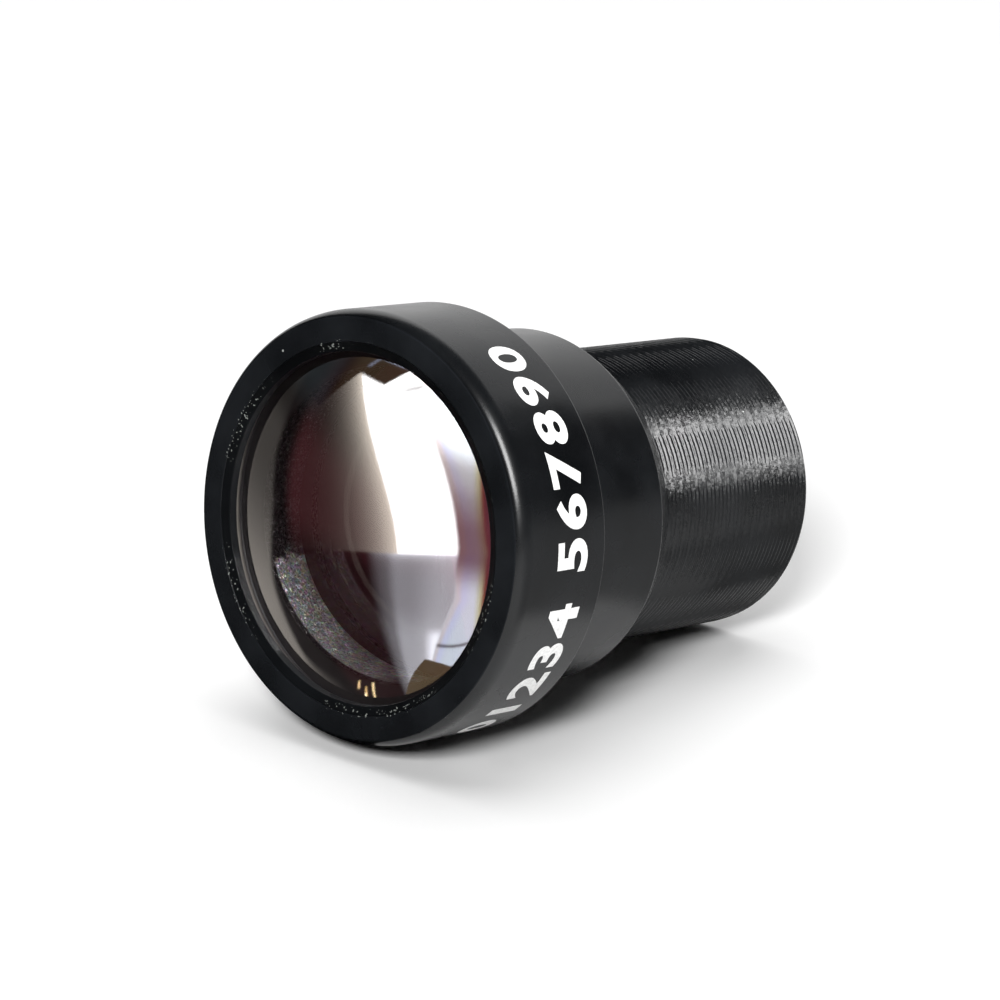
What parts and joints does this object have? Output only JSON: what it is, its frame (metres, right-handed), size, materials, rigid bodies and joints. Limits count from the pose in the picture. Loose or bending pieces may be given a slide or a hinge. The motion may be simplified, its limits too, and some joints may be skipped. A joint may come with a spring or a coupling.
{
  "type": "m12 board camera lens",
  "caption": "Fixed-focus board camera lens: domed glasses clamped in a black anodised barrel with a wide head, a step band and a long M12 threaded tube.",
  "frame": {"origin": "centre of the rear end face of the threaded tube", "axes": "+Z along the optical axis towards the front glass; X and Y square to it, with the spanner slots of the rear ring along X"},
  "size_m": [0.0168, 0.0168, 0.0219],
  "materials": {
    "black_anodised": "satin black anodised, turned",
    "black_ring": "matt black anodised, fine turned",
    "black_spacer": "matt black anodised, bead blasted",
    "stop_black": "dead matt black",
    "front_glass": "polished and coated, with a ground rim",
    "inner_glass": "polished and coated, with a ground rim",
    "filter_glass": "polished, with a pale blue-green coating"
  },
  "bodies": {
    "root": {"barrel": "black_anodised", "front_ring": "black_ring", "rear_ring": "black_ring", "front_spacer": "black_spacer", "second_spacer": "black_spacer", "third_spacer": "black_spacer", "fourth_spacer": "black_spacer", "aperture_stop": "stop_black", "front_lens": "front_glass", "second_lens": "inner_glass", "third_lens": "inner_glass", "fourth_lens": "inner_glass", "fifth_lens": "inner_glass", "ir_filter": "filter_glass"}
  },
  "joints": []
}
